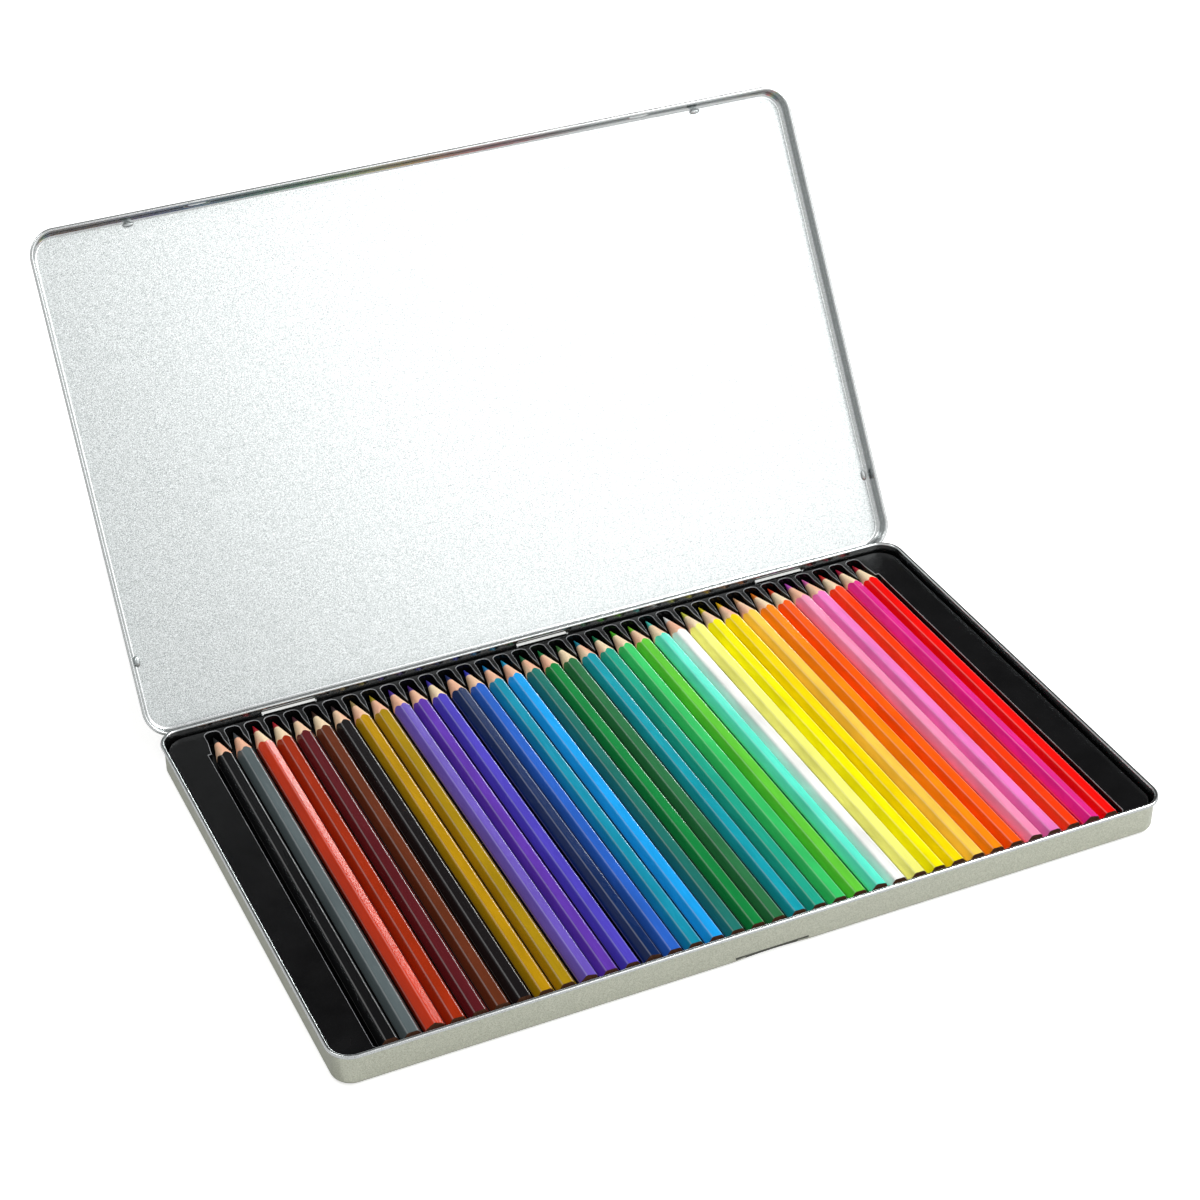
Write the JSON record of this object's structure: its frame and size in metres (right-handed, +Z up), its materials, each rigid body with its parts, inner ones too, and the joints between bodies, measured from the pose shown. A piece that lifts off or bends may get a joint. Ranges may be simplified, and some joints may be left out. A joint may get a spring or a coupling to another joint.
{
  "type": "colored pencil tin",
  "caption": "Shallow tinplate box with a hinged lid that leans open, holding a black formed tray and a row of sharpened hexagonal colored pencils.",
  "frame": {"origin": "middle of the underside of the base", "axes": "+X along the row of pencils to the picture's right, +Y from the front wall to the hinge, +Z up"},
  "size_m": [0.31, 0.2905, 0.1678],
  "materials": {
    "tinplate": "bright tinplate, fine grain",
    "tray_plastic": "thermoformed black polystyrene sheet",
    "lacquer_01_black": "gloss lacquer over a wooden casing",
    "lacquer_02_grey": "gloss lacquer over a wooden casing",
    "lacquer_03_brick": "gloss lacquer over a wooden casing",
    "lacquer_04_redwood": "gloss lacquer over a wooden casing",
    "lacquer_05_maroon": "gloss lacquer over a wooden casing",
    "lacquer_06_brown": "gloss lacquer over a wooden casing",
    "lacquer_07_umber": "gloss lacquer over a wooden casing",
    "lacquer_08_ochre": "gloss lacquer over a wooden casing",
    "lacquer_09_olive_gold": "gloss lacquer over a wooden casing",
    "lacquer_10_plum": "gloss lacquer over a wooden casing",
    "lacquer_11_violet": "gloss lacquer over a wooden casing",
    "lacquer_12_blue_violet": "gloss lacquer over a wooden casing",
    "lacquer_13_navy": "gloss lacquer over a wooden casing",
    "lacquer_14_blue": "gloss lacquer over a wooden casing",
    "lacquer_15_teal_blue": "gloss lacquer over a wooden casing",
    "lacquer_16_sky_blue": "gloss lacquer over a wooden casing",
    "lacquer_17_pine": "gloss lacquer over a wooden casing",
    "lacquer_18_green": "gloss lacquer over a wooden casing",
    "lacquer_19_moss": "gloss lacquer over a wooden casing",
    "lacquer_20_teal": "gloss lacquer over a wooden casing",
    "lacquer_21_sea_green": "gloss lacquer over a wooden casing",
    "lacquer_22_emerald": "gloss lacquer over a wooden casing",
    "lacquer_23_leaf": "gloss lacquer over a wooden casing",
    "lacquer_24_aqua": "gloss lacquer over a wooden casing",
    "lacquer_25_white": "gloss lacquer over a wooden casing",
    "lacquer_26_cream": "gloss lacquer over a wooden casing",
    "lacquer_27_lemon": "gloss lacquer over a wooden casing",
    "lacquer_28_yellow": "gloss lacquer over a wooden casing",
    "lacquer_29_naples": "gloss lacquer over a wooden casing",
    "lacquer_30_orange": "gloss lacquer over a wooden casing",
    "lacquer_31_vermilion": "gloss lacquer over a wooden casing",
    "lacquer_32_rose": "gloss lacquer over a wooden casing",
    "lacquer_33_pink": "gloss lacquer over a wooden casing",
    "lacquer_34_scarlet": "gloss lacquer over a wooden casing",
    "lacquer_35_magenta": "gloss lacquer over a wooden casing",
    "lacquer_36_red": "gloss lacquer over a wooden casing"
  },
  "bodies": {
    "base": {"tin_base": "tinplate"},
    "lid": {"tin_lid": "tinplate"},
    "tray": {"pencil_tray": "tray_plastic"},
    "pencil_01_black": {"pencil_01_black": "lacquer_01_black"},
    "pencil_02_grey": {"pencil_02_grey": "lacquer_02_grey"},
    "pencil_03_brick": {"pencil_03_brick": "lacquer_03_brick"},
    "pencil_04_redwood": {"pencil_04_redwood": "lacquer_04_redwood"},
    "pencil_05_maroon": {"pencil_05_maroon": "lacquer_05_maroon"},
    "pencil_06_brown": {"pencil_06_brown": "lacquer_06_brown"},
    "pencil_07_umber": {"pencil_07_umber": "lacquer_07_umber"},
    "pencil_08_ochre": {"pencil_08_ochre": "lacquer_08_ochre"},
    "pencil_09_olive_gold": {"pencil_09_olive_gold": "lacquer_09_olive_gold"},
    "pencil_10_plum": {"pencil_10_plum": "lacquer_10_plum"},
    "pencil_11_violet": {"pencil_11_violet": "lacquer_11_violet"},
    "pencil_12_blue_violet": {"pencil_12_blue_violet": "lacquer_12_blue_violet"},
    "pencil_13_navy": {"pencil_13_navy": "lacquer_13_navy"},
    "pencil_14_blue": {"pencil_14_blue": "lacquer_14_blue"},
    "pencil_15_teal_blue": {"pencil_15_teal_blue": "lacquer_15_teal_blue"},
    "pencil_16_sky_blue": {"pencil_16_sky_blue": "lacquer_16_sky_blue"},
    "pencil_17_pine": {"pencil_17_pine": "lacquer_17_pine"},
    "pencil_18_green": {"pencil_18_green": "lacquer_18_green"},
    "pencil_19_moss": {"pencil_19_moss": "lacquer_19_moss"},
    "pencil_20_teal": {"pencil_20_teal": "lacquer_20_teal"},
    "pencil_21_sea_green": {"pencil_21_sea_green": "lacquer_21_sea_green"},
    "pencil_22_emerald": {"pencil_22_emerald": "lacquer_22_emerald"},
    "pencil_23_leaf": {"pencil_23_leaf": "lacquer_23_leaf"},
    "pencil_24_aqua": {"pencil_24_aqua": "lacquer_24_aqua"},
    "pencil_25_white": {"pencil_25_white": "lacquer_25_white"},
    "pencil_26_cream": {"pencil_26_cream": "lacquer_26_cream"},
    "pencil_27_lemon": {"pencil_27_lemon": "lacquer_27_lemon"},
    "pencil_28_yellow": {"pencil_28_yellow": "lacquer_28_yellow"},
    "pencil_29_naples": {"pencil_29_naples": "lacquer_29_naples"},
    "pencil_30_orange": {"pencil_30_orange": "lacquer_30_orange"},
    "pencil_31_vermilion": {"pencil_31_vermilion": "lacquer_31_vermilion"},
    "pencil_32_rose": {"pencil_32_rose": "lacquer_32_rose"},
    "pencil_33_pink": {"pencil_33_pink": "lacquer_33_pink"},
    "pencil_34_scarlet": {"pencil_34_scarlet": "lacquer_34_scarlet"},
    "pencil_35_magenta": {"pencil_35_magenta": "lacquer_35_magenta"},
    "pencil_36_red": {"pencil_36_red": "lacquer_36_red"}
  },
  "joints": [
    {"name": "lid_hinge", "type": "hinge", "parent": "base", "child": "lid", "pos_m": [0, 0.0935, 0.0102], "axis": [-1, 0, 0], "range_deg": [-123, 0]},
    {"name": "tray_lift", "type": "slide", "parent": "base", "child": "tray", "axis": [0, 0, 1], "range_m": [0, 0.02]},
    {"name": "pencil_01_lift", "type": "slide", "parent": "tray", "child": "pencil_01_black", "axis": [0, 0, 1], "range_m": [0, 0.015]},
    {"name": "pencil_02_lift", "type": "slide", "parent": "tray", "child": "pencil_02_grey", "axis": [0, 0, 1], "range_m": [0, 0.015]},
    {"name": "pencil_03_lift", "type": "slide", "parent": "tray", "child": "pencil_03_brick", "axis": [0, 0, 1], "range_m": [0, 0.015]},
    {"name": "pencil_04_lift", "type": "slide", "parent": "tray", "child": "pencil_04_redwood", "axis": [0, 0, 1], "range_m": [0, 0.015]},
    {"name": "pencil_05_lift", "type": "slide", "parent": "tray", "child": "pencil_05_maroon", "axis": [0, 0, 1], "range_m": [0, 0.015]},
    {"name": "pencil_06_lift", "type": "slide", "parent": "tray", "child": "pencil_06_brown", "axis": [0, 0, 1], "range_m": [0, 0.015]},
    {"name": "pencil_07_lift", "type": "slide", "parent": "tray", "child": "pencil_07_umber", "axis": [0, 0, 1], "range_m": [0, 0.015]},
    {"name": "pencil_08_lift", "type": "slide", "parent": "tray", "child": "pencil_08_ochre", "axis": [0, 0, 1], "range_m": [0, 0.015]},
    {"name": "pencil_09_lift", "type": "slide", "parent": "tray", "child": "pencil_09_olive_gold", "axis": [0, 0, 1], "range_m": [0, 0.015]},
    {"name": "pencil_10_lift", "type": "slide", "parent": "tray", "child": "pencil_10_plum", "axis": [0, 0, 1], "range_m": [0, 0.015]},
    {"name": "pencil_11_lift", "type": "slide", "parent": "tray", "child": "pencil_11_violet", "axis": [0, 0, 1], "range_m": [0, 0.015]},
    {"name": "pencil_12_lift", "type": "slide", "parent": "tray", "child": "pencil_12_blue_violet", "axis": [0, 0, 1], "range_m": [0, 0.015]},
    {"name": "pencil_13_lift", "type": "slide", "parent": "tray", "child": "pencil_13_navy", "axis": [0, 0, 1], "range_m": [0, 0.015]},
    {"name": "pencil_14_lift", "type": "slide", "parent": "tray", "child": "pencil_14_blue", "axis": [0, 0, 1], "range_m": [0, 0.015]},
    {"name": "pencil_15_lift", "type": "slide", "parent": "tray", "child": "pencil_15_teal_blue", "axis": [0, 0, 1], "range_m": [0, 0.015]},
    {"name": "pencil_16_lift", "type": "slide", "parent": "tray", "child": "pencil_16_sky_blue", "axis": [0, 0, 1], "range_m": [0, 0.015]},
    {"name": "pencil_17_lift", "type": "slide", "parent": "tray", "child": "pencil_17_pine", "axis": [0, 0, 1], "range_m": [0, 0.015]},
    {"name": "pencil_18_lift", "type": "slide", "parent": "tray", "child": "pencil_18_green", "axis": [0, 0, 1], "range_m": [0, 0.015]},
    {"name": "pencil_19_lift", "type": "slide", "parent": "tray", "child": "pencil_19_moss", "axis": [0, 0, 1], "range_m": [0, 0.015]},
    {"name": "pencil_20_lift", "type": "slide", "parent": "tray", "child": "pencil_20_teal", "axis": [0, 0, 1], "range_m": [0, 0.015]},
    {"name": "pencil_21_lift", "type": "slide", "parent": "tray", "child": "pencil_21_sea_green", "axis": [0, 0, 1], "range_m": [0, 0.015]},
    {"name": "pencil_22_lift", "type": "slide", "parent": "tray", "child": "pencil_22_emerald", "axis": [0, 0, 1], "range_m": [0, 0.015]},
    {"name": "pencil_23_lift", "type": "slide", "parent": "tray", "child": "pencil_23_leaf", "axis": [0, 0, 1], "range_m": [0, 0.015]},
    {"name": "pencil_24_lift", "type": "slide", "parent": "tray", "child": "pencil_24_aqua", "axis": [0, 0, 1], "range_m": [0, 0.015]},
    {"name": "pencil_25_lift", "type": "slide", "parent": "tray", "child": "pencil_25_white", "axis": [0, 0, 1], "range_m": [0, 0.015]},
    {"name": "pencil_26_lift", "type": "slide", "parent": "tray", "child": "pencil_26_cream", "axis": [0, 0, 1], "range_m": [0, 0.015]},
    {"name": "pencil_27_lift", "type": "slide", "parent": "tray", "child": "pencil_27_lemon", "axis": [0, 0, 1], "range_m": [0, 0.015]},
    {"name": "pencil_28_lift", "type": "slide", "parent": "tray", "child": "pencil_28_yellow", "axis": [0, 0, 1], "range_m": [0, 0.015]},
    {"name": "pencil_29_lift", "type": "slide", "parent": "tray", "child": "pencil_29_naples", "axis": [0, 0, 1], "range_m": [0, 0.015]},
    {"name": "pencil_30_lift", "type": "slide", "parent": "tray", "child": "pencil_30_orange", "axis": [0, 0, 1], "range_m": [0, 0.015]},
    {"name": "pencil_31_lift", "type": "slide", "parent": "tray", "child": "pencil_31_vermilion", "axis": [0, 0, 1], "range_m": [0, 0.015]},
    {"name": "pencil_32_lift", "type": "slide", "parent": "tray", "child": "pencil_32_rose", "axis": [0, 0, 1], "range_m": [0, 0.015]},
    {"name": "pencil_33_lift", "type": "slide", "parent": "tray", "child": "pencil_33_pink", "axis": [0, 0, 1], "range_m": [0, 0.015]},
    {"name": "pencil_34_lift", "type": "slide", "parent": "tray", "child": "pencil_34_scarlet", "axis": [0, 0, 1], "range_m": [0, 0.015]},
    {"name": "pencil_35_lift", "type": "slide", "parent": "tray", "child": "pencil_35_magenta", "axis": [0, 0, 1], "range_m": [0, 0.015]},
    {"name": "pencil_36_lift", "type": "slide", "parent": "tray", "child": "pencil_36_red", "axis": [0, 0, 1], "range_m": [0, 0.015]}
  ]
}
